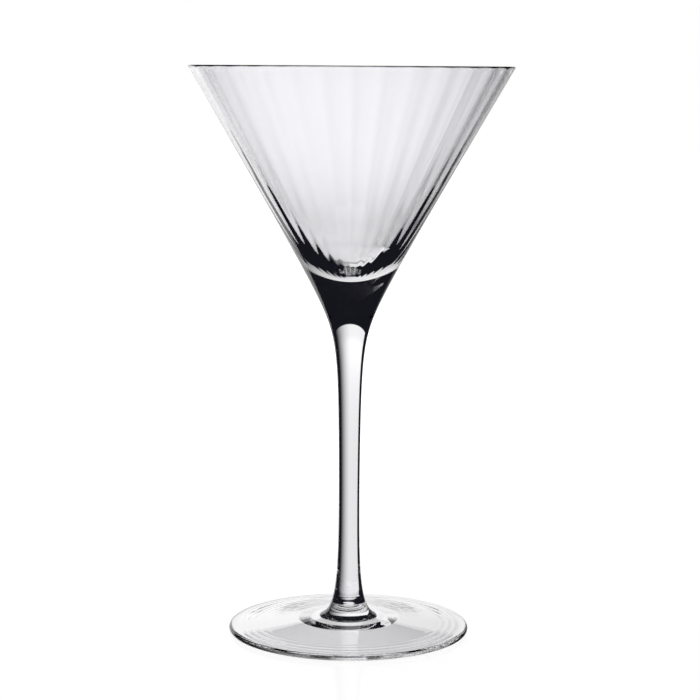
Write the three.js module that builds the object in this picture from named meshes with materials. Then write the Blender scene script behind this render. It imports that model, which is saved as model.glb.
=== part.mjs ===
// A stemmed cocktail glass in clear glass, made of three gathers: a ribbed conical bowl,
// a drawn stem with a flared head, and a spun foot with a low boss.
// Sizes are in millimetres and +Z is up. The origin is the centre of the circle the foot rests on.

import * as THREE from "three";
import { mergeVertices } from "three/addons/utils/BufferGeometryUtils.js";

// Overall sizes
const HEIGHT = 190;
const RIM_RADIUS = 54.12; // where the line of the wall would meet the top; the lip is rounded off
const FOOT_RADIUS = 40.5;

// Outside of the bowl and of the stem above its slimmest place: one hyperbola, which turns
// from the straight cone of the cup into the nearly straight shank.
const SHANK_RADIUS = 3.13; // what the hyperbola tends to, far below the flare
const FLARE_Z = 102.7; // where the line of the cone meets the line of the shank
const FLARE_SOFTNESS = 11.6; // how slowly one line turns into the other
const WAIST_Z = 48; // slimmest place of the stem

// Lip
const LIP_WALL = 1.3; // thickness of the wall there, measured level
const LIP_ROUND = 0.46; // radius of its two rounded corners

// Inside of the bowl: a hyperbola too, from the cone of the wall to a round bottom
const CAVITY_Z = 121.7; // lowest point inside
const CAVITY_SOFTNESS = 38; // how wide the round bottom is

// Ribs that the optic mould leaves on the inside of the wall, as waves about its mean surface
const RIB_COUNT = 32;
const RIB_DEPTH_RIM = 0.08;
const RIB_DEPTH_LOW = 0.035;
const RIB_LOW_RADIUS = 20; // inside this radius the depth stays as it is here
const RIB_FADE_RADIUS = 8; // and inside this one the ribs fade out towards the axis
const RIB_SEGMENTS = 4;

// Flat joints, where one gather was stuck to the next
const BOWL_JOINT_Z = 117;
const STEM_JOINT_Z = 9.6;

// Lower end of the stem and the foot's boss: one curve, from the waist out to the disc
const BOSS_RADIUS = 10.4;
const BOSS_Z = 5;
const BOSS_PULL = { waistZ: 18.3, radius: 3.9, z: 5.6 }; // the curve's two control points

// Foot
const EDGE_THICKNESS = 2;
const REST_RING = 1.5; // width of the flat ring that the glass stands on
const HOLLOW = [ // underside from the axis outwards, as corners with a radius and a height
  [0, 2.9],
  [9, 2.9],
  [12.2, 2.57],
  [17, 2.57],
];

// Fineness of the meshes
const STEM_SEGMENTS = 48;
const FOOT_SEGMENTS = 96;
const CHORDS = { cup: 7, lipOuter: 4, lipInner: 2, inside: 9, shank: 12, stemEnd: 9, boss: 6, edge: 6 };
const CUP_CROWDING = 1.4; // the outside's chords are shorter low down, where it turns
const SHANK_CROWDING = 0.7; // the stem's are shorter high up, for the same reason
const BISECTIONS = 40;
const ON_AXIS = 1e-6; // a smaller radius than this is on the axis
const WELD = 1e-4; // points nearer than this are one point

const CLEAR_GLASS = {
  color: 0xf4f6f8,
  roughness: 0.02,
  metalness: 0,
  transparent: true,
  opacity: 0.35,
};

const point = (radius, z) => new THREE.Vector2(radius, z);

const CONE_RISE = HEIGHT - FLARE_Z;
const CONE_SLOPE =
  (2 * (RIM_RADIUS - SHANK_RADIUS)) / (CONE_RISE + Math.hypot(CONE_RISE, FLARE_SOFTNESS));
const CONE_LEAN = Math.atan(CONE_SLOPE);

// The lip's corners are tangent to the wall, whose outside and inside they meet at these places
const LIP_OUTER_Z = HEIGHT - LIP_ROUND * (1 + Math.sin(CONE_LEAN));
const LIP_INNER_Z = HEIGHT - LIP_ROUND * (1 - Math.sin(CONE_LEAN));
const LIP_INNER_RADIUS = outerRadius(LIP_INNER_Z) - LIP_WALL;

/** Outer radius of the bowl and of the stem above its waist, at height z. */
function outerRadius(z) {
  const rise = z - FLARE_Z;
  return SHANK_RADIUS + (CONE_SLOPE * (rise + Math.hypot(rise, FLARE_SOFTNESS))) / 2;
}

/** Points of the outer curve between two heights, both included; crowding above 1 crowds the start. */
function outerCurve(fromZ, toZ, steps, crowding) {
  const points = [];
  for (let i = 0; i <= steps; i += 1) {
    const z = THREE.MathUtils.lerp(fromZ, toZ, (i / steps) ** crowding);
    points.push(point(outerRadius(z), z));
  }
  return points;
}

/** An arc of a circle in the profile's plane, between two angles in degrees. */
function arc(centreRadius, centreZ, radius, fromDegrees, toDegrees, steps) {
  const points = [];
  for (let i = 0; i <= steps; i += 1) {
    const angle = THREE.MathUtils.degToRad(THREE.MathUtils.lerp(fromDegrees, toDegrees, i / steps));
    points.push(point(centreRadius + radius * Math.cos(angle), centreZ + radius * Math.sin(angle)));
  }
  return points;
}

/** The lip's two rounded corners and the flat between them, from outside to inside. */
function lipCurve(outerSteps, innerSteps) {
  const z = HEIGHT - LIP_ROUND;
  const inset = LIP_ROUND * Math.cos(CONE_LEAN);
  const lean = THREE.MathUtils.radToDeg(CONE_LEAN);
  return [
    ...arc(outerRadius(LIP_OUTER_Z) - inset, z, LIP_ROUND, -lean, 90, outerSteps),
    ...arc(LIP_INNER_RADIUS + inset, z, LIP_ROUND, 90, 180 - lean, innerSteps),
  ];
}

/** The inside below the lip, down to the axis. */
function cavityCurve(steps) {
  const rise = LIP_INNER_Z - CAVITY_Z + CAVITY_SOFTNESS;
  const points = [];
  for (let i = steps - 1; i >= 0; i -= 1) {
    const share = i / steps;
    const spread = (rise ** 2 - CAVITY_SOFTNESS ** 2) * share ** 2;
    const z = CAVITY_Z + Math.sqrt(spread + CAVITY_SOFTNESS ** 2) - CAVITY_SOFTNESS;
    points.push(point(LIP_INNER_RADIUS * share, z));
  }
  return points;
}

/** A closed solid turned about +Z, from a profile that starts and ends on the axis. */
function turned(profile, segments, press = () => {}) {
  const geometry = new THREE.LatheGeometry(profile, segments);
  geometry.rotateX(Math.PI / 2);
  press(geometry);
  geometry.deleteAttribute("uv");
  geometry.deleteAttribute("normal");
  const merged = mergeVertices(geometry, WELD);
  merged.computeVertexNormals();
  return merged;
}

/** Presses the ribs into the rings of a turned shape from innerStart on. */
function pressRibs(geometry, ringCount, innerStart) {
  const position = geometry.attributes.position;
  for (let i = 0; i < position.count; i += 1) {
    const x = position.getX(i);
    const y = position.getY(i);
    const radius = Math.hypot(x, y);
    if (i % ringCount >= innerStart && radius > ON_AXIS) {
      const depth = THREE.MathUtils.mapLinear(
        Math.max(radius, RIB_LOW_RADIUS), RIB_LOW_RADIUS, RIM_RADIUS, RIB_DEPTH_LOW, RIB_DEPTH_RIM,
      );
      const fade = Math.min(1, radius / RIB_FADE_RADIUS);
      const scale = 1 + (depth * fade * Math.cos(RIB_COUNT * Math.atan2(y, x))) / radius;
      position.setX(i, x * scale);
      position.setY(i, y * scale);
    }
  }
}

/** Points of the lower curve, from the waist to the stem's joint and from there to the disc. */
function lowerCurve() {
  const curve = new THREE.CubicBezierCurve(
    point(outerRadius(WAIST_Z), WAIST_Z),
    point(outerRadius(WAIST_Z), BOSS_PULL.waistZ),
    point(BOSS_PULL.radius, BOSS_PULL.z),
    point(BOSS_RADIUS, BOSS_Z),
  );
  let before = 0;
  let after = 1;
  for (let i = 0; i < BISECTIONS; i += 1) {
    const middle = (before + after) / 2;
    if (curve.getPoint(middle).y > STEM_JOINT_Z) before = middle;
    else after = middle;
  }
  const stretch = (from, to, steps) =>
    Array.from({ length: steps + 1 }, (_, i) =>
      curve.getPoint(THREE.MathUtils.lerp(from, to, i / steps)),
    );
  const joint = point(curve.getPoint(before).x, STEM_JOINT_Z);
  return {
    joint,
    stemPart: stretch(0, before, CHORDS.stemEnd).slice(0, -1),
    bossPart: stretch(before, 1, CHORDS.boss).slice(1),
  };
}

function glassMesh(name, geometry) {
  const mesh = new THREE.Mesh(geometry, new THREE.MeshStandardMaterial(CLEAR_GLASS));
  mesh.name = name;
  return mesh;
}

/** The cup: a thick round bottom on a flat joint, a ribbed wall and a lip with rounded corners. */
function bowl() {
  const outside = outerCurve(BOWL_JOINT_Z, LIP_OUTER_Z, CHORDS.cup, CUP_CROWDING).slice(0, -1);
  const inside = cavityCurve(CHORDS.inside);
  const profile = [point(0, BOWL_JOINT_Z), ...outside, ...lipCurve(CHORDS.lipOuter, CHORDS.lipInner), ...inside];
  const innerStart = profile.length - inside.length;
  const press = (geometry) => pressRibs(geometry, profile.length, innerStart);
  return glassMesh("bowl", turned(profile, RIB_COUNT * RIB_SEGMENTS, press));
}

/** The solid stem: its lower end on the boss, the shank, and the head under the bowl. */
function stem() {
  const { joint, stemPart } = lowerCurve();
  const profile = [
    point(0, STEM_JOINT_Z),
    joint,
    ...stemPart.reverse(),
    ...outerCurve(WAIST_Z, BOWL_JOINT_Z, CHORDS.shank, SHANK_CROWDING).slice(1),
    point(0, BOWL_JOINT_Z),
  ];
  return glassMesh("stem", turned(profile, STEM_SEGMENTS));
}

/** The foot: a shallow cone with a rounded edge, hollow underneath, and the boss in its middle. */
function foot() {
  const edgeRadius = EDGE_THICKNESS / 2;
  const edgeCentre = FOOT_RADIUS - edgeRadius;
  const { joint, bossPart } = lowerCurve();
  const profile = [
    ...HOLLOW.map(([radius, z]) => point(radius, z)),
    point(edgeCentre - REST_RING, 0),
    ...arc(edgeCentre, edgeRadius, edgeRadius, -90, 90, CHORDS.edge),
    ...bossPart.reverse(),
    joint,
    point(0, STEM_JOINT_Z),
  ];
  return glassMesh("foot", turned(profile, FOOT_SEGMENTS));
}

const glass = new THREE.Group();
glass.add(bowl(), stem(), foot());

export default glass;
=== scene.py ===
"""A clear cocktail glass: a ribbed conical bowl on a drawn stem, fused to a spun foot.

The three gathers are turned about the upright axis from half outlines. Where two of them are fused,
the glass goes on without a surface, so both faces there are left fully clear. The glass stands on
a glowing table top, whose own light is dimmed near the glass as a painted shade round the foot, in a
dark room, in front of one curved light panel, which is how clear glass is lit to show its edges. A
second panel far below does the same for a view from above.
"""

import logging
import math
from collections.abc import Callable
from dataclasses import dataclass, field
from enum import Enum

import bmesh
import bpy
from mathutils import Matrix, Vector
from mathutils.geometry import interpolate_bezier


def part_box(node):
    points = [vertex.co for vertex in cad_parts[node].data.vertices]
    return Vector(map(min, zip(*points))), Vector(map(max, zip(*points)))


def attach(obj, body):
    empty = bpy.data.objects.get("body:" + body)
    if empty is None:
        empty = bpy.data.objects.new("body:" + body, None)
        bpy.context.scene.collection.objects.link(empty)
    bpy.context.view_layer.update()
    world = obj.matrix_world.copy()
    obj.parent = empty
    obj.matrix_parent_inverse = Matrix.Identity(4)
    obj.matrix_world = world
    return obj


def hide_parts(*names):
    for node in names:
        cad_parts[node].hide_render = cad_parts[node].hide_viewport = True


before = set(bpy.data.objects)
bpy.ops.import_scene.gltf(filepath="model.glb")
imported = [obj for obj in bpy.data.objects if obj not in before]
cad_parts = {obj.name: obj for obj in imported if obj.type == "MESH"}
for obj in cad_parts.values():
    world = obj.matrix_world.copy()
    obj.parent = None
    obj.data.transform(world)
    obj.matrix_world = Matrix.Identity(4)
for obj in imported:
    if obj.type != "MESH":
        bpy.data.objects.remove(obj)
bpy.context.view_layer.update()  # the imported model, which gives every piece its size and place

BODY = "root"
MM = 0.001
WAIST_HEIGHT = 48.0 * MM  # the slimmest place of the stem
NUDGE = 1e-6  # two points nearer than this are one point
FINE_STEP = 0.2 * MM  # spacing of an outline's points beside a joint
GRADING = 0.25  # how fast the spacing grows with the distance from there

log = logging.getLogger("glass")

Point = tuple[float, float]  # a place in a half outline: radius and height, in metres


def blend_between(low: float, high: float, share: float) -> float:
    """Returns the number that lies the given share of the way from low to high."""
    return low + (high - low) * share


def arc(centre: Point, radius: float, start: float, end: float, steps: int) -> list[Point]:
    """Makes an arc of an outline.

    Args:
        centre: The arc's centre.
        radius: Its radius.
        start: The angle of its first point, in degrees, from level outwards.
        end: The angle of its last point.
        steps: How many chords it has.

    Returns:
        The arc's points, with both ends.
    """
    angles = [math.radians(blend_between(start, end, i / steps)) for i in range(steps + 1)]
    return [(centre[0] + radius * math.cos(a), centre[1] + radius * math.sin(a)) for a in angles]


def straight(start: Point, end: Point, step: float) -> list[Point]:
    """Makes a straight stretch of an outline.

    Args:
        start: Its first point.
        end: Its last point.
        step: The longest distance between two neighbours.

    Returns:
        The points after the first, up to the last.
    """
    count = max(1, math.ceil(math.dist(start, end) / step))
    return [
        (blend_between(start[0], end[0], i / count), blend_between(start[1], end[1], i / count))
        for i in range(1, count + 1)
    ]


def thinned(points: list[Point], spacing: Callable[[float], float]) -> list[Point]:
    """Thins a finely stepped curve to the spacing that each height needs.

    Args:
        points: The fine curve.
        spacing: Gives the wanted spacing at a height.

    Returns:
        The points that are kept, the two ends among them.
    """
    kept = [points[0]]
    for place in points[1:-1]:
        if math.dist(place, kept[-1]) >= spacing(place[1]):
            kept.append(place)
    return [*kept, points[-1]]


def add_node(
    tree: bpy.types.NodeTree, kind: str, values: dict[str, float | tuple[float, ...]] | None = None,
) -> bpy.types.Node:
    """Adds a node to a tree and sets some of its inputs.

    Args:
        tree: The tree.
        kind: The node's type, without the words that all shader nodes' types begin with.
        values: The inputs to set, by name.

    Returns:
        The node.
    """
    node = tree.nodes.new(f"ShaderNode{kind}")
    for name, value in (values or {}).items():
        node.inputs[name].default_value = value
    return node


def make_material(name: str) -> bpy.types.Material:
    """Makes a material with one plain shader.

    Args:
        name: Its name.

    Returns:
        The material, ready for its nodes to be set.
    """
    material = bpy.data.materials.new(name)
    material.use_nodes = True
    return material


@dataclass(frozen=True)
class ToolMark:
    """A shallow round groove that a tool or a seam leaves in hot glass.

    Attributes:
        height: Height of its middle.
        depth: How far it goes in.
        width: Half its width, where it has faded to about a third.
    """

    height: float
    depth: float
    width: float

    def bite(self, height: float) -> float:
        """Returns how far the groove goes in at a height."""
        return self.depth * math.exp(-(((height - self.height) / self.width) ** 2))


@dataclass(frozen=True)
class FlareCurve:
    """The outside of the bowl and of the stem above its waist, as one hyperbola.

    Attributes:
        rim_height: Height of the rim.
        rim_radius: Radius that its line reaches at that height. The lip is rounded off inside it.
        shank_radius: What the curve tends to, far below the flare.
        flare_height: Where the line of the cone meets the line of the shank.
        softness: How slowly the one line turns into the other.
    """

    rim_height: float
    rim_radius: float = 54.12 * MM
    shank_radius: float = 3.13 * MM
    flare_height: float = 102.7 * MM
    softness: float = 11.6 * MM

    @property
    def slope(self) -> float:
        """Gives how fast the cone's radius grows with height, far above the flare."""
        rise = self.rim_height - self.flare_height
        return 2 * (self.rim_radius - self.shank_radius) / (rise + math.hypot(rise, self.softness))

    @property
    def lean(self) -> float:
        """Gives the angle between the cone's side and the upright."""
        return math.atan(self.slope)

    def radius(self, height: float) -> float:
        """Returns the outer radius at a height."""
        rise = height - self.flare_height
        return self.shank_radius + self.slope * (rise + math.hypot(rise, self.softness)) / 2

    def stretch(self, low: float, high: float, step: float, fine_at: float) -> list[Point]:
        """Makes the curve's points between two heights.

        Args:
            low: The lowest height.
            high: The highest height.
            step: The spacing far from fine_at.
            fine_at: The height near which the points lie closer, so that two gathers join smoothly.

        Returns:
            The points from low to high.
        """
        count = math.ceil((high - low) / FINE_STEP)
        heights = [blend_between(low, high, i / count) for i in range(count + 1)]
        return thinned(
            [(self.radius(z), z) for z in heights],
            lambda z: min(step, FINE_STEP + GRADING * abs(z - fine_at)),
        )


class Grain(Enum):
    """The way that the faint waves of hand-worked glass run on a piece."""

    BLOWN = "the same in every direction"
    DRAWN = "along the stem"
    SPUN = "in rings about the axis"


@dataclass(frozen=True)
class ClearGlass:
    """The finish of the glass: fire-polished, clear, with the faint waves of handwork.

    Attributes:
        grain: The way the waves run.
        tint: The glass's colour, very slightly cool.
        index: Refractive index of crystal glass.
        polish: The roughness of the smoothest and of the least smooth places.
        wear: The part of the wear pattern that lies between those two.
        wear_size: How many spots of wear there are to the metre.
        wave_depth: Height of the waves, in metres.
        wave_size: How many waves there are to the metre.
        ring_size: How many spinning rings there are to the metre, in about sixths.
        ring_share: Height of the spinning rings, as a share of that of the waves.
    """

    grain: Grain
    tint: tuple[float, float, float, float] = (0.985, 0.983, 1.0, 1.0)
    index: float = 1.52
    polish: tuple[float, float] = (0.0, 0.03)
    wear: tuple[float, float] = (0.55, 0.8)
    wear_size: float = 360.0
    wave_depth: float = 0.006 * MM
    wave_size: float = 90.0
    ring_size: float = 160.0
    ring_share: float = 0.12

    @property
    def stretched(self) -> tuple[float, float, float]:
        """Gives how the waves are stretched for this grain.

        Returns:
            Their scale along X, Y and Z.
        """
        return {
            Grain.BLOWN: (1.0, 1.0, 0.45),
            Grain.DRAWN: (3.0, 3.0, 0.25),
            Grain.SPUN: (1.0, 1.0, 1.0),
        }[self.grain]

    def waves(self, tree: bpy.types.NodeTree, place: bpy.types.NodeSocket) -> bpy.types.NodeSocket:
        """Adds the faint waves, and on a spun piece its rings.

        Args:
            tree: The material's node tree.
            place: The place in the piece.

        Returns:
            The socket that gives the height of the surface.
        """
        turn = add_node(tree, "Mapping", {"Scale": self.stretched})
        tree.links.new(place, turn.inputs["Vector"])
        waves = add_node(tree, "TexNoise", {"Scale": self.wave_size, "Detail": 1.0, "Roughness": 0.35})
        tree.links.new(turn.outputs["Vector"], waves.inputs["Vector"])
        if self.grain is not Grain.SPUN:
            return waves.outputs["Fac"]
        rings = add_node(tree, "TexWave", {
            "Scale": self.ring_size, "Distortion": 1.2, "Detail": 1.0, "Detail Scale": 0.6,
        })
        rings.wave_type = "RINGS"
        rings.rings_direction = "Z"
        tree.links.new(turn.outputs["Vector"], rings.inputs["Vector"])
        both = add_node(tree, "Math")
        both.operation = "MULTIPLY_ADD"
        both.inputs[1].default_value = self.ring_share
        tree.links.new(rings.outputs["Fac"], both.inputs[0])
        tree.links.new(waves.outputs["Fac"], both.inputs[2])
        return both.outputs[0]

    def gloss(self, tree: bpy.types.NodeTree, place: bpy.types.NodeSocket) -> bpy.types.NodeSocket:
        """Adds the spots where the polish is a little less smooth.

        Args:
            tree: The material's node tree.
            place: The place in the piece.

        Returns:
            The socket that gives the roughness.
        """
        spots = add_node(tree, "TexNoise", {"Scale": self.wear_size, "Detail": 4.0})
        tree.links.new(place, spots.inputs["Vector"])
        gloss = add_node(tree, "MapRange", {
            "From Min": self.wear[0], "From Max": self.wear[1],
            "To Min": self.polish[0], "To Max": self.polish[1],
        })
        tree.links.new(spots.outputs["Fac"], gloss.inputs["Value"])
        return gloss.outputs["Result"]

    def make(self) -> bpy.types.Material:
        """Makes the material.

        Returns:
            The glass, with its polish and its waves worked out from the place in the piece.
        """
        material = make_material(f"clear_glass_{self.grain.name.lower()}")
        tree = material.node_tree
        shader = tree.nodes["Principled BSDF"]
        shader.inputs["Base Color"].default_value = self.tint
        shader.inputs["Transmission Weight"].default_value = 1.0
        shader.inputs["IOR"].default_value = self.index
        place = add_node(tree, "TexCoord").outputs["Object"]
        relief = add_node(tree, "Bump", {"Distance": self.wave_depth})
        tree.links.new(self.waves(tree, place), relief.inputs["Height"])
        tree.links.new(relief.outputs["Normal"], shader.inputs["Normal"])
        tree.links.new(self.gloss(tree, place), shader.inputs["Roughness"])
        return material


@dataclass(frozen=True)
class FusedFace:
    """The finish of a face where two gathers are fused, and there is no surface to see."""

    name: str = "fused_face"

    def make(self) -> bpy.types.Material:
        """Makes the material.

        Returns:
            The one fully clear material that all the fused faces share.
        """
        found = bpy.data.materials.get(self.name)
        if found:
            return found
        material = make_material(self.name)
        material.node_tree.nodes["Principled BSDF"].inputs["Alpha"].default_value = 0.0
        return material


@dataclass
class Gather:
    """A gather of glass, turned about the upright axis from a half outline.

    Attributes:
        node: Name of the CAD node that it stands for.
        grain: The way that its faint waves run.
        turns: How many steps the full turn has.
    """

    node: str
    grain: Grain
    turns: int

    def outline(self) -> list[Point]:
        """Returns the half outline, which starts and ends on the axis."""
        raise NotImplementedError

    def fused_heights(self) -> list[float]:
        """Returns the heights of the level faces where it is fused to its neighbours."""
        raise NotImplementedError

    def shape(self, mesh: bmesh.types.BMesh) -> None:
        """Shapes the turned mesh further, unless the gather stays as it was turned."""

    def turned(self) -> bmesh.types.BMesh:
        """Turns the outline into a closed body: one sector is spun, and then doubled.

        Returns:
            The mesh, with its poles and its seams merged and its faces pointing out.
        """
        doublings = 4
        sectors = 2**doublings
        mesh = bmesh.new()
        verts = [mesh.verts.new((radius, 0.0, height)) for radius, height in self.outline()]
        edges = [mesh.edges.new(pair) for pair in zip(verts, verts[1:])]
        bmesh.ops.spin(
            mesh, geom=verts + edges, cent=(0, 0, 0), axis=(0, 0, 1), angle=math.tau / sectors,
            steps=self.turns // sectors,
        )
        for doubling in range(doublings):
            whole = [*mesh.verts, *mesh.edges, *mesh.faces]
            copy = bmesh.ops.duplicate(mesh, geom=whole)["geom"]
            angle = math.tau / sectors * 2**doubling
            bmesh.ops.rotate(
                mesh, cent=(0, 0, 0), matrix=Matrix.Rotation(angle, 3, "Z"),
                verts=[part for part in copy if isinstance(part, bmesh.types.BMVert)],
            )
        bmesh.ops.remove_doubles(mesh, verts=mesh.verts, dist=NUDGE)
        bmesh.ops.recalc_face_normals(mesh, faces=mesh.faces)
        return mesh

    def clear_fused_faces(self, mesh: bmesh.types.BMesh) -> None:
        """Gives the fused faces the second material, with a sharp edge round them.

        Args:
            mesh: The turned mesh.
        """
        for face in mesh.faces:
            face.smooth = True
            heights = [vert.co.z for vert in face.verts]
            for level in self.fused_heights():
                if max(abs(height - level) for height in heights) < NUDGE:
                    face.material_index = 1
        for edge in mesh.edges:
            if len({face.material_index for face in edge.link_faces}) > 1:
                edge.smooth = False

    def build(self) -> bpy.types.Object:
        """Builds the piece and puts it in the frame in place of its CAD node.

        Returns:
            The finished piece.
        """
        mesh = self.turned()
        self.shape(mesh)
        self.clear_fused_faces(mesh)
        data = bpy.data.meshes.new(f"{self.node}_glass")
        mesh.to_mesh(data)
        mesh.free()
        data.materials.append(ClearGlass(self.grain).make())
        data.materials.append(FusedFace().make())
        piece = bpy.data.objects.new(f"{self.node}_glass", data)
        bpy.context.scene.collection.objects.link(piece)
        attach(piece, BODY)
        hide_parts(self.node)
        log.info("%s: %d faces", piece.name, len(data.polygons))
        return piece


@dataclass
class Bowl(Gather):
    """The blown cup: a thick round bottom, a wall ribbed inside, and a rounded lip.

    Attributes:
        curve: The outside.
        joint: Height of the face where the stem is fused on.
        lip_wall: Thickness of the wall at the lip, measured level.
        lip_round: Radius of the rounded corners of the lip.
        bottom_height: Lowest height inside.
        softness: How wide the round bottom is.
        ribs: Number of ribs left by the optic mould.
        rib_lip: Depth of the ribs at the lip, either way from the mean wall.
        rib_low: Depth of the ribs low down.
        rib_even: Radius inside which they are rib_low deep.
        rib_end: Radius inside which they fade out.
        rib_reach: How far into the wall the ribs begin and where they are whole, as shares of
            lip_wall, so that the outside stays smooth.
        unevenness: How much deeper and shallower than the mean the ribs are round the bowl.
        hand_waves: The waves of that unevenness, each as its number round the bowl and its phase.
        outer_step: The longest distance between the points of the outside.
    """

    curve: FlareCurve = field(kw_only=True)
    joint: float = field(kw_only=True)
    lip_wall: float = 1.3 * MM
    lip_round: float = 0.46 * MM
    bottom_height: float = 121.7 * MM
    softness: float = 38.0 * MM
    ribs: int = 32
    rib_lip: float = 0.09 * MM
    rib_low: float = 0.035 * MM
    rib_even: float = 20.0 * MM
    rib_end: float = 8.0 * MM
    rib_reach: tuple[float, float] = (0.3, 0.8)
    unevenness: float = 0.2
    hand_waves: tuple[tuple[int, float], ...] = ((3, 1.0), (7, 2.2))
    outer_step: float = 0.8 * MM

    @property
    def lip_height(self) -> float:
        """Gives the height at which the inside of the wall meets the rounded lip."""
        return self.curve.rim_height - self.lip_round * (1 - math.sin(self.curve.lean))

    @property
    def lip_radius(self) -> float:
        """Gives the inner radius at that height."""
        return self.curve.radius(self.lip_height) - self.lip_wall

    def lip(self, low: float) -> list[Point]:
        """Makes the lip: two rounded corners, tangent to the wall, and the flat between them.

        Args:
            low: The height at which the outside of the wall meets it.

        Returns:
            The points from the outside to the inside.
        """
        outer_steps, inner_steps = 10, 6
        lean = math.degrees(self.curve.lean)
        inset = self.lip_round * math.cos(self.curve.lean)
        middle = self.curve.rim_height - self.lip_round
        outer_centre = (self.curve.radius(low) - inset, middle)
        inner_centre = (self.lip_radius + inset, middle)
        return [
            *arc(outer_centre, self.lip_round, -lean, 90, outer_steps),
            *arc(inner_centre, self.lip_round, 90, 180 - lean, inner_steps),
        ]

    def inside(self) -> list[Point]:
        """Makes the inside of the bowl, below the lip.

        Returns:
            The points from under the lip down to the axis.
        """
        steps = 72
        radii = [self.lip_radius * (1 - i / steps) for i in range(1, steps + 1)]
        return [(radius, self.inner_height(radius)) for radius in radii]

    def inner_height(self, radius: float) -> float:
        """Works out the inside, a cone that turns into a round bottom.

        Args:
            radius: The inner radius.

        Returns:
            The height of the inside there, before the ribs are pressed in.
        """
        rise = self.lip_height - self.bottom_height + self.softness
        spread = (rise**2 - self.softness**2) * (radius / self.lip_radius) ** 2
        return self.bottom_height + math.sqrt(spread + self.softness**2) - self.softness

    def outline(self) -> list[Point]:
        """Makes the half outline.

        Returns:
            The points from the joint up the outside, over the lip and down the inside.
        """
        low = self.curve.rim_height - self.lip_round * (1 + math.sin(self.curve.lean))
        outside = self.curve.stretch(self.joint, low, self.outer_step, self.joint)
        return [(0.0, self.joint), *outside[:-1], *self.lip(low), *self.inside()]

    def fused_heights(self) -> list[float]:
        """Returns the height of the joint with the stem."""
        return [self.joint]

    def shape(self, mesh: bmesh.types.BMesh) -> None:
        """Presses the ribs into the inside of the wall, up to the inner half of the lip.

        Args:
            mesh: The turned bowl.
        """
        for vert in mesh.verts:
            radius = math.hypot(vert.co.x, vert.co.y)
            if radius < NUDGE:
                continue
            inward = (self.curve.radius(vert.co.z) - radius) / self.lip_wall
            turn = math.atan2(vert.co.y, vert.co.x)
            move = self.rib_depth(radius, inward, turn) * math.cos(self.ribs * turn)
            vert.co.x *= 1 + move / radius
            vert.co.y *= 1 + move / radius

    def rib_depth(self, radius: float, inward: float, turn: float) -> float:
        """Works out how deep the ribs are at a place.

        Args:
            radius: The place's distance from the axis.
            inward: How far it lies inside the outer surface, as a share of lip_wall.
            turn: Its angle round the axis, in radians.

        Returns:
            The depth, either way from the mean wall.
        """
        start, whole = self.rib_reach
        pressed = min(1.0, max(0.0, (inward - start) / (whole - start)))
        share = (radius - self.rib_even) / (self.curve.rim_radius - self.rib_even)
        depth = blend_between(self.rib_low, self.rib_lip, max(0.0, share))
        waves = sum(math.cos(count * turn + phase) for count, phase in self.hand_waves)
        return pressed * depth * min(1.0, radius / self.rib_end) * (1 + self.unevenness * waves)


@dataclass(frozen=True)
class BossCurve:
    """The outside of the stem's lower end and of the foot's boss, as one swept curve.

    Attributes:
        waist: The slimmest place of the stem, where the curve starts upright.
        foot_end: Where it runs out onto the disc of the foot.
        waist_pull: Height of the curve's first control point, which lies below the waist.
        foot_pull: The curve's second control point.
        marks: The grooves in it.
        step: The longest distance between its points.
        groove_step: The distance between them in a groove.
        groove_reach: How far from a groove's middle they lie that close.
    """

    waist: Point
    foot_end: Point = (10.4 * MM, 5.0 * MM)
    waist_pull: float = 18.3 * MM
    foot_pull: Point = (3.9 * MM, 5.6 * MM)
    marks: tuple[ToolMark, ...] = (
        ToolMark(9.6 * MM, 0.05 * MM, 0.2 * MM),
        ToolMark(19.6 * MM, 0.04 * MM, 0.4 * MM),
    )
    step: float = 0.6 * MM
    groove_step: float = 0.1 * MM
    groove_reach: float = 1.2 * MM

    def spacing(self, height: float) -> float:
        """Returns the spacing that the points need at a height, finer in a groove."""
        near = min(abs(height - mark.height) for mark in self.marks)
        return min(self.step, self.groove_step + GRADING * max(0.0, near - self.groove_reach))

    def points(self) -> list[Point]:
        """Makes the whole curve.

        Returns:
            The points from the waist down to the disc, with the grooves cut in.
        """
        knots = [self.waist, (self.waist[0], self.waist_pull), self.foot_pull, self.foot_end]
        fine_points = 700
        fine = interpolate_bezier(*(Vector((x, z, 0.0)) for x, z in knots), fine_points)
        cut = [(p.x - sum(mark.bite(p.y) for mark in self.marks), p.y) for p in fine]
        return thinned(cut, self.spacing)

    def parted(self, height: float) -> tuple[list[Point], list[Point]]:
        """Parts the curve at a height.

        Args:
            height: Height of the joint.

        Returns:
            The part above and the part below. Both hold the point on the joint.
        """
        points = self.points()
        above = [p for p in points if p[1] > height + NUDGE]
        below = [p for p in points if p[1] < height - NUDGE]
        (r0, z0), (r1, z1) = above[-1], below[0]
        share = (height - z0) / (z1 - z0)
        joint = (blend_between(r0, r1, share), height)
        return [*above, joint], [joint, *below]


@dataclass
class Stem(Gather):
    """The drawn stem: its spread lower end, the slender shank, and the flared head.

    Attributes:
        curve: The outside above the waist.
        boss: The outside below the waist.
        low_joint: Height of the face on the foot's boss.
        high_joint: Height of the face under the bowl.
        step: The longest distance between the points of the outline above the waist.
    """

    curve: FlareCurve = field(kw_only=True)
    boss: BossCurve = field(kw_only=True)
    low_joint: float = field(kw_only=True)
    high_joint: float = field(kw_only=True)
    step: float = 0.7 * MM

    def outline(self) -> list[Point]:
        """Makes the half outline.

        Returns:
            The points from the lower joint up to the upper one.
        """
        lower, _ = self.boss.parted(self.low_joint)
        upper = self.curve.stretch(self.boss.waist[1], self.high_joint, self.step, self.high_joint)
        return [(0.0, self.low_joint), *reversed(lower), *upper[1:], (0.0, self.high_joint)]

    def fused_heights(self) -> list[float]:
        """Returns the heights of the joints with the foot and the bowl."""
        return [self.low_joint, self.high_joint]


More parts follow.
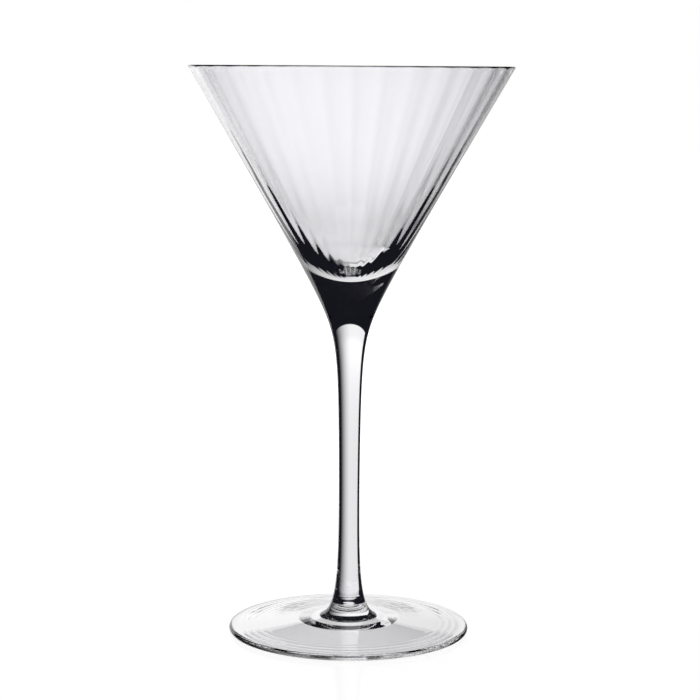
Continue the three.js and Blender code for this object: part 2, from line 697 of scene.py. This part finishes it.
@dataclass
class Foot(Gather):
    """The spun foot: a shallow cone with a rounded edge, hollow beneath, and a low boss.

    Attributes:
        radius: Outer radius.
        boss: The outside of the boss.
        joint: Height of the face where the stem is fused on.
        edge: Thickness at the rounded edge.
        rest_ring: Width of the flat ring that it stands on.
        hollow: The underside from the axis to the ring, as corners joined by straight lines.
        ring_depth: Depth of the rings that spinning leaves near the edge.
        ring_width: Width of one such ring.
        ring_start: Radius at which they begin.
        top_step: The longest distance between the points of the top.
        under_step: The longest distance between those of the underside.
    """

    radius: float = field(kw_only=True)
    boss: BossCurve = field(kw_only=True)
    joint: float = field(kw_only=True)
    edge: float = 2.0 * MM
    rest_ring: float = 1.5 * MM
    hollow: tuple[Point, ...] = (
        (0.0, 2.9 * MM), (9.0 * MM, 2.9 * MM), (12.2 * MM, 2.57 * MM), (17.0 * MM, 2.57 * MM),
    )
    ring_depth: float = 0.03 * MM
    ring_width: float = 2.3 * MM
    ring_start: float = 30.0 * MM
    top_step: float = 0.2 * MM
    under_step: float = 0.6 * MM

    def ring_height(self, radius: float) -> float:
        """Works out the rings that spinning leaves.

        Args:
            radius: A radius on the top of the foot.

        Returns:
            How far they raise or lower the top there.
        """
        share = max(0.0, (radius - self.ring_start) / (self.radius - self.ring_start))
        wave = math.sin(math.tau * (radius - self.ring_start) / self.ring_width)
        swell = 4 * share * (1 - share)  # 0 at both ends of the ringed zone and 1 in its middle
        return self.ring_depth * swell * wave

    def outline(self) -> list[Point]:
        """Makes the half outline.

        Returns:
            The points from the joint over the top and the edge and back along the hollow.
        """
        half = self.edge / 2
        edge_centre = (self.radius - half, half)
        edge_steps = 16
        _, boss = self.boss.parted(self.joint)
        plate = straight(boss[-1], (edge_centre[0], self.edge), self.top_step)[:-1]
        top = [(r, z + self.ring_height(r)) for r, z in plate]
        edge = arc(edge_centre, half, 90, -90, edge_steps)
        ring = [(edge_centre[0] - self.rest_ring, 0.0)]
        under = []
        for start, end in zip((*ring, *reversed(self.hollow)), reversed(self.hollow)):
            under += straight(start, end, self.under_step)
        return [(0.0, self.joint), *boss, *top, *edge, *ring, *under]

    def fused_heights(self) -> list[float]:
        """Returns the height of the joint with the stem."""
        return [self.joint]


@dataclass
class LightPanel:
    """A light panel that the glass shows and the camera doesn't see.

    Attributes:
        name: Its name.
    """

    name: str

    def mesh(self) -> bmesh.types.BMesh:
        """Returns the panel's surface."""
        raise NotImplementedError

    def glowing(self, tree: bpy.types.NodeTree, strength: bpy.types.NodeSocket) -> None:
        """Sets the panel's brightness.

        Args:
            tree: The material's node tree.
            strength: The brightness of its light.
        """
        raise NotImplementedError

    def build(self) -> bpy.types.Object:
        """Builds the panel.

        Returns:
            The panel, on the stage.
        """
        surface = self.mesh()
        data = bpy.data.meshes.new(self.name)
        surface.to_mesh(data)
        surface.free()
        material = make_material(self.name)
        tree = material.node_tree
        tree.nodes.remove(tree.nodes["Principled BSDF"])
        light = add_node(tree, "Emission")
        tree.links.new(light.outputs[0], tree.nodes["Material Output"].inputs["Surface"])
        self.glowing(tree, light.inputs["Strength"])
        data.materials.append(material)
        panel = bpy.data.objects.new(self.name, data)
        panel.visible_camera = False
        panel.visible_diffuse = False
        bpy.context.scene.collection.objects.link(panel)
        log.info("stage: %s", panel.name)
        return panel


@dataclass
class BackPanel(LightPanel):
    """The upright curved panel behind the glass.

    Attributes:
        left: Its left edge, in degrees round the axis from straight behind the glass.
        right: Its right edge.
        low: Height of its lower edge.
        high: Height of its upper edge.
        distance: Its distance from the axis.
        glow: Its brightness.
        fade: Width of the soft left, right and upper edges, each as a share of the panel.
        low_glow: Brightness of its lower part, as a share of that of its middle.
        low_zone: The heights between which that changes.
        high_glow: Brightness of its upper part, as a share of that of its middle.
        high_zone: The heights between which that changes.
    """

    left: float = -44.0
    right: float = 43.0
    low: float = -4.0
    high: float = 0.39
    distance: float = 1.0
    glow: float = 1.14
    fade: tuple[float, float, float] = (0.02, 0.55, 0.0032)
    low_glow: float = 0.77
    low_zone: tuple[float, float] = (-0.15, 0.12)
    high_glow: float = 0.88
    high_zone: tuple[float, float] = (0.16, 0.28)

    def share_up(self, height: float) -> float:
        """Returns how far up the panel a height lies, as a share of the panel."""
        return (height - self.low) / (self.high - self.low)

    def steps(self) -> list[tuple[str, float, float, float, float]]:
        """Lists the soft steps of the panel's brightness.

        Returns:
            Each step's axis, X across the panel or Y up it, the two places between which it lies,
            and the shares of the brightness before and after it.
        """
        left, right, upper = self.fade
        low_start, low_end = (self.share_up(height) for height in self.low_zone)
        high_start, high_end = (self.share_up(height) for height in self.high_zone)
        return [
            ("X", 0.0, left, 0.0, 1.0),
            ("X", 1.0 - right, 1.0, 1.0, 0.0),
            ("Y", 1.0 - upper, 1.0, 1.0, 0.0),
            ("Y", low_start, low_end, self.low_glow, 1.0),
            ("Y", high_start, high_end, 1.0, self.high_glow),
        ]

    def glowing(self, tree: bpy.types.NodeTree, strength: bpy.types.NodeSocket) -> None:
        """Sets the brightness, which changes in soft steps over the panel's own UV map.

        Args:
            tree: The material's node tree.
            strength: The brightness of its light.
        """
        parts = add_node(tree, "SeparateXYZ")
        tree.links.new(add_node(tree, "UVMap").outputs["UV"], parts.inputs["Vector"])
        total = add_node(tree, "Value").outputs[0]
        total.default_value = self.glow
        for axis, start, end, before, after in self.steps():
            step = add_node(tree, "MapRange")
            step.interpolation_type = "SMOOTHSTEP"
            step.inputs["From Min"].default_value = start
            step.inputs["From Max"].default_value = end
            step.inputs["To Min"].default_value = before
            step.inputs["To Max"].default_value = after
            tree.links.new(parts.outputs[axis], step.inputs["Value"])
            times = add_node(tree, "Math")
            times.operation = "MULTIPLY"
            tree.links.new(total, times.inputs[0])
            tree.links.new(step.outputs["Result"], times.inputs[1])
            total = times.outputs[0]
        tree.links.new(total, strength)

    def mesh(self) -> bmesh.types.BMesh:
        """Makes the panel's surface.

        Returns:
            The upright strip, with a UV map that runs across it and up it.
        """
        turns = 32
        mesh = bmesh.new()
        start = math.radians(self.left)
        x, y = self.distance * math.sin(start), self.distance * math.cos(start)
        lower = mesh.verts.new((x, y, self.low))
        upper = mesh.verts.new((x, y, self.high))
        edge = mesh.edges.new((lower, upper))
        bmesh.ops.spin(
            mesh, geom=[lower, upper, edge], cent=(0, 0, 0), axis=(0, 0, 1),
            angle=-math.radians(self.right - self.left), steps=turns,
        )
        uv = mesh.loops.layers.uv.new("UVMap")
        for face in mesh.faces:
            for loop in face.loops:
                place = loop.vert.co
                turn = math.degrees(math.atan2(place.x, place.y))
                across = (turn - self.left) / (self.right - self.left)
                loop[uv].uv = (across, self.share_up(place.z))
        return mesh


@dataclass
class FloorPanel(LightPanel):
    """A level panel far under the table, which lights the glass for a view from above.

    Attributes:
        height: Its height.
        radius: Its radius.
        glow: Its brightness.
    """

    height: float = -4.0
    radius: float = 1.0
    glow: float = 0.85

    def glowing(self, tree: bpy.types.NodeTree, strength: bpy.types.NodeSocket) -> None:
        """Sets the panel's brightness, which is the same all over. See LightPanel."""
        strength.default_value = self.glow

    def mesh(self) -> bmesh.types.BMesh:
        """Makes the panel's surface.

        Returns:
            The round panel.
        """
        sides = 48
        mesh = bmesh.new()
        bmesh.ops.create_circle(
            mesh, cap_ends=True, segments=sides, radius=self.radius,
            matrix=Matrix.Translation((0.0, 0.0, self.height)),
        )
        return mesh


@dataclass
class TableTop:
    """The pale lit table top: it glows, with a slight gloss. Its own light is dimmer near the glass, a
    painted shade round the foot, and brighter far from it.

    Attributes:
        reach: Half its side.
        glow: Its own light under the glass, lowered there as a painted shade, and far from it.
        spread: How far from the axis its light changes from the one to the other.
        index: Refractive index of its surface, which sets how faint its gloss is.
        blur: How blurred its gloss is.
        shade: The part of its light that comes from above and that the glass shades.
    """

    reach: float = 4.0
    # painted shade: the table glows less near the glass than far from it
    glow: tuple[float, float] = (0.90, 1.15)
    spread: tuple[float, float] = (0.12, 0.45)
    index: float = 1.07
    blur: float = 0.1
    shade: float = 0.16

    def material(self) -> bpy.types.Material:
        """Makes the table's surface.

        Returns:
            The material, whose own light grows with the distance from the glass: a painted shade near
            the glass.
        """
        material = make_material("table_top_painted_shade")
        tree = material.node_tree
        shader = tree.nodes["Principled BSDF"]
        shader.inputs["Base Color"].default_value = (self.shade, self.shade, self.shade, 1.0)
        shader.inputs["Roughness"].default_value = self.blur
        shader.inputs["IOR"].default_value = self.index
        shader.inputs["Emission Color"].default_value = (1.0, 1.0, 1.0, 1.0)
        distance = add_node(tree, "VectorMath")
        distance.operation = "LENGTH"
        tree.links.new(add_node(tree, "TexCoord").outputs["Object"], distance.inputs[0])
        # painted shade: the table's own light is dimmer near the glass's foot and brighter far away
        light = add_node(tree, "MapRange", {
            "From Min": self.spread[0], "From Max": self.spread[1],
            "To Min": self.glow[0], "To Max": self.glow[1],
        })
        light.interpolation_type = "SMOOTHSTEP"
        tree.links.new(distance.outputs["Value"], light.inputs["Value"])
        tree.links.new(light.outputs["Result"], shader.inputs["Emission Strength"])
        return material

    def build(self) -> bpy.types.Object:
        """Builds the table top.

        Returns:
            The table top, which only the camera sees.
        """
        mesh = bmesh.new()
        bmesh.ops.create_grid(mesh, x_segments=1, y_segments=1, size=self.reach)
        data = bpy.data.meshes.new("table_top_painted_shade")
        mesh.to_mesh(data)
        mesh.free()
        data.materials.append(self.material())
        table = bpy.data.objects.new("table_top_painted_shade", data)
        for rays in ("visible_diffuse", "visible_glossy", "visible_transmission", "visible_shadow"):
            setattr(table, rays, False)
        bpy.context.scene.collection.objects.link(table)
        log.info("stage: %s", table.name)
        return table


@dataclass
class Studio:
    """The stage: the table top, the dark room, and the light panels.

    Attributes:
        room: Brightness and colour of the dark room, as the glass shows it.
        white: Brightness and colour of the surroundings, as the camera sees them.
        lamp_power: Power of the soft light over the table, in watts.
        lamp_size: Its diameter.
        lamp_height: Its height.
    """

    room: tuple[float, float, float, float] = (0.008, 0.008, 0.012, 1.0)
    white: tuple[float, float, float, float] = (1.0, 1.0, 1.0, 1.0)
    lamp_power: float = 12.0
    lamp_size: float = 1.2
    lamp_height: float = 1.4

    def make_room(self) -> None:
        """Makes the world: white for the camera, and a dark room for the glass."""
        world = bpy.data.worlds.new("studio_room")
        bpy.context.scene.world = world
        world.use_nodes = True
        tree = world.node_tree
        dark = tree.nodes["Background"]
        dark.inputs["Color"].default_value = self.room
        bright = add_node(tree, "Background", {"Color": self.white})
        choice = add_node(tree, "MixShader")
        tree.links.new(add_node(tree, "LightPath").outputs["Is Camera Ray"], choice.inputs["Fac"])
        tree.links.new(dark.outputs[0], choice.inputs[1])
        tree.links.new(bright.outputs[0], choice.inputs[2])
        tree.links.new(choice.outputs[0], tree.nodes["World Output"].inputs["Surface"])

    def make_rig(self, camera: bpy.types.Object) -> bpy.types.Object:
        """Makes the rig that keeps a panel behind the glass as the camera walks round it.

        Args:
            camera: The camera that the rig faces.

        Returns:
            The rig, at the origin, which turns about the upright axis only.
        """
        rig = bpy.data.objects.new("panel_rig", None)
        bpy.context.scene.collection.objects.link(rig)
        face = rig.constraints.new("LOCKED_TRACK")
        face.target = camera
        face.track_axis = "TRACK_NEGATIVE_Y"
        face.lock_axis = "LOCK_Z"
        return rig

    def make_lamp(self) -> None:
        """Makes the soft light over the table, which gives the glass its faint shadow."""
        light = bpy.data.lights.new("overhead", "AREA")
        light.shape = "DISK"
        light.size = self.lamp_size
        light.energy = self.lamp_power
        lamp = bpy.data.objects.new("overhead", light)
        lamp.location = (0.0, 0.0, self.lamp_height)
        lamp.visible_camera = False
        lamp.visible_glossy = False
        lamp.visible_transmission = False
        bpy.context.scene.collection.objects.link(lamp)
        log.info("stage: %s", lamp.name)

    def set_light_paths(self) -> None:
        """Lets light pass through as many walls of glass as there are behind one another."""
        scene = bpy.context.scene
        scene.view_settings.view_transform = "Standard"
        scene.cycles.max_bounces = 40
        scene.cycles.transmission_bounces = 36
        scene.cycles.glossy_bounces = 24
        scene.cycles.transparent_max_bounces = 64
        scene.cycles.caustics_reflective = False
        scene.cycles.caustics_refractive = False

    def build(self, camera: bpy.types.Object) -> None:
        """Builds the whole stage.

        Args:
            camera: The camera that the back panel faces.
        """
        self.make_room()
        self.make_lamp()
        TableTop().build()
        FloorPanel("floor_panel").build()
        panel = BackPanel("back_panel").build()
        panel.parent = self.make_rig(camera)
        self.set_light_paths()


@dataclass
class Viewpoint:
    """The camera, level with the rim of the glass and looking a little down.

    Attributes:
        place: Where it stands.
        pitch: How far it looks down, in degrees.
        roll: How far it is turned about its line of sight, in degrees.
        lens: Focal length, in millimetres.
        sensor: Width of its sensor, in millimetres.
    """

    place: tuple[float, float, float] = (0.0, -0.6958, 0.190)
    pitch: float = 7.72
    roll: float = 0.35
    lens: float = 107.9
    sensor: float = 36.0

    def build(self) -> bpy.types.Object:
        """Builds the camera and makes it the scene's own.

        Returns:
            The camera.
        """
        data = bpy.data.cameras.new("camera")
        data.sensor_width = self.sensor
        data.lens = self.lens
        camera = bpy.data.objects.new("camera", data)
        camera.location = self.place
        aim = Matrix.Rotation(math.radians(90 - self.pitch), 3, "X")
        camera.rotation_euler = (aim @ Matrix.Rotation(math.radians(self.roll), 3, "Z")).to_euler()
        bpy.context.scene.collection.objects.link(camera)
        bpy.context.scene.camera = camera
        return camera


def main() -> None:
    """Builds the glass, the stage and the camera."""
    logging.basicConfig(level=logging.INFO, format="%(name)s: %(message)s")
    camera = Viewpoint().build()

    _, bowl_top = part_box("bowl")
    stem_low, stem_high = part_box("stem")
    _, foot_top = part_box("foot")
    curve = FlareCurve(rim_height=bowl_top[2])
    boss = BossCurve(waist=(curve.radius(WAIST_HEIGHT), WAIST_HEIGHT))

    low_joint, high_joint = stem_low[2], stem_high[2]
    Bowl("bowl", Grain.BLOWN, turns=256, curve=curve, joint=high_joint).build()
    Stem(
        "stem", Grain.DRAWN, turns=128, curve=curve, boss=boss, low_joint=low_joint,
        high_joint=high_joint,
    ).build()
    Foot("foot", Grain.SPUN, turns=256, radius=foot_top[0], boss=boss, joint=low_joint).build()
    Studio().build(camera)


if __name__ == "__main__":
    main()
